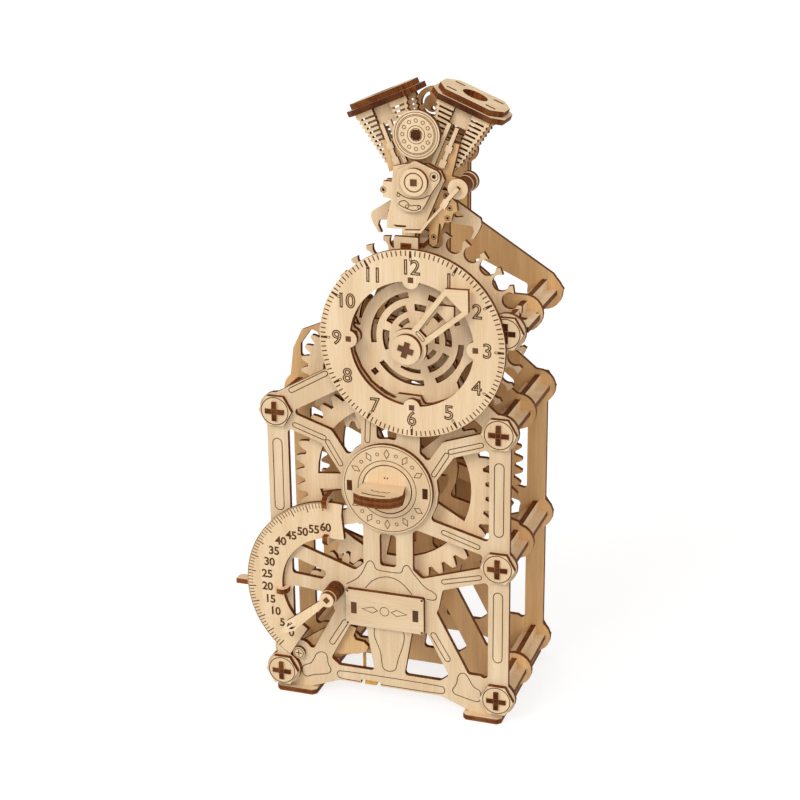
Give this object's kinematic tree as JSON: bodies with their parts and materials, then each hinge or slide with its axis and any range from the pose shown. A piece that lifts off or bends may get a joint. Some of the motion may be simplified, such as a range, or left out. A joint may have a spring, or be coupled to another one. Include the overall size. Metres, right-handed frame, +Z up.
{
  "type": "wooden mechanical clock model",
  "caption": "Plywood mechanical clock kit: lattice frame of three plates, hour dial with hands, seconds sector dial, winding key, gear train, pendulum and a V-twin engine on top.",
  "frame": {"origin": "on the resting surface, under the middle of the bounding box", "axes": "+Z up, the dial faces -Y, +X to the right as seen from the front"},
  "size_m": [0.168, 0.1172, 0.3473],
  "materials": {
    "birch_ply": "laser-cut birch plywood with pale faces and burnt edges",
    "birch_deep": "laser-cut birch plywood, warmer sheets deeper in the frame",
    "birch_dark": "laser-burnt wood of arbors and pinions",
    "band_rubber": "satin natural rubber"
  },
  "bodies": {
    "frame": {"front_plate": "birch_ply", "middle_plate": "birch_deep", "back_plate": "birch_deep", "posts": "birch_ply", "front_nuts": "birch_ply", "back_nuts": "birch_ply", "left_foot": "birch_ply", "right_foot": "birch_ply", "name_plate": "birch_ply", "name_plate_keys": "birch_ply", "hour_dial": "birch_ply", "dial_spacers": "birch_ply", "key_disc": "birch_ply", "seconds_dial": "birch_ply", "seconds_dial_clips": "birch_ply", "rubber_band": "band_rubber", "engine_base": "birch_ply", "crankcase_front": "birch_ply", "crankcase_back": "birch_ply", "cam_cover": "birch_ply", "badge": "birch_ply", "left_cylinder": "birch_ply", "right_cylinder": "birch_ply", "cylinder_heads": "birch_ply", "push_rods": "birch_ply", "carburettor": "birch_ply", "throttle_pipe": "birch_ply"},
    "winder": {"winding_key": "birch_ply", "key_turntable": "birch_ply", "winding_arbor": "birch_dark", "ratchet_wheel": "birch_dark"},
    "drive": {"great_wheel": "birch_ply", "front_wheel": "birch_ply", "drive_sleeve": "birch_dark", "click": "birch_dark"},
    "centre": {"centre_arbor": "birch_dark", "centre_wheel": "birch_ply", "centre_drive_wheel": "birch_ply", "cannon_pinion": "birch_dark", "minute_hand": "birch_ply", "hand_hub": "birch_ply"},
    "hour": {"hour_wheel": "birch_ply", "hour_hand": "birch_ply"},
    "motion": {"motion_arbor": "birch_dark", "motion_wheel": "birch_ply"},
    "third": {"third_arbor": "birch_dark", "third_wheel": "birch_ply"},
    "escape": {"escape_wheel": "birch_ply", "escape_pinion": "birch_dark"},
    "seconds": {"seconds_arbor": "birch_dark", "seconds_pinion": "birch_dark", "seconds_hand": "birch_ply"},
    "pendulum": {"anchor": "birch_ply", "anchor_arbor": "birch_dark", "cam_boss": "birch_ply", "pendulum_rod": "birch_ply", "pendulum_bob": "birch_ply"},
    "lever": {"band_lever": "birch_deep", "lever_pivot": "birch_dark"}
  },
  "joints": [
    {"name": "drive_spin", "type": "hinge", "parent": "frame", "child": "drive", "pos_m": [0.00855, -0.00585, 0.1315], "axis": [0, 1, 0], "continuous": true},
    {"name": "key_turn", "type": "hinge", "parent": "frame", "child": "winder", "pos_m": [0.00855, -0.03585, 0.1315], "axis": [0, 1, 0], "continuous": true},
    {"name": "centre_spin", "type": "hinge", "parent": "frame", "child": "centre", "pos_m": [0.02385, -0.00585, 0.2155], "axis": [0, 1, 0], "continuous": true},
    {"name": "hour_spin", "type": "hinge", "parent": "frame", "child": "hour", "pos_m": [0.02385, -0.03585, 0.2155], "axis": [0, 1, 0], "continuous": true},
    {"name": "motion_spin", "type": "hinge", "parent": "frame", "child": "motion", "pos_m": [-0.01346, -0.02585, 0.19034], "axis": [0, 1, 0], "continuous": true},
    {"name": "third_spin", "type": "hinge", "parent": "frame", "child": "third", "pos_m": [-0.00766, -0.00585, 0.22106], "axis": [0, 1, 0], "continuous": true},
    {"name": "escape_spin", "type": "hinge", "parent": "frame", "child": "escape", "pos_m": [0.02385, -0.01485, 0.2155], "axis": [0, 1, 0], "continuous": true},
    {"name": "seconds_spin", "type": "hinge", "parent": "frame", "child": "seconds", "pos_m": [-0.02305, -0.03585, 0.0669], "axis": [0, 1, 0], "continuous": true},
    {"name": "pendulum_swing", "type": "hinge", "parent": "frame", "child": "pendulum", "pos_m": [0.02385, 0.00415, 0.2995], "axis": [0, 1, 0], "range_deg": [-2, 2]},
    {"name": "lever_rock", "type": "hinge", "parent": "frame", "child": "lever", "pos_m": [-0.04605, -0.03185, 0.0242], "axis": [0, 1, 0], "range_deg": [-2, 2]}
  ],
  "couplings": [
    {"joint": "centre_spin", "follows": "drive_spin", "ratio": -2.1667},
    {"joint": "third_spin", "follows": "drive_spin", "ratio": 6.5},
    {"joint": "escape_spin", "follows": "drive_spin", "ratio": -19.5},
    {"joint": "motion_spin", "follows": "drive_spin", "ratio": 1.0833},
    {"joint": "hour_spin", "follows": "drive_spin", "ratio": -0.18056},
    {"joint": "seconds_spin", "follows": "drive_spin", "ratio": -3.3333}
  ]
}
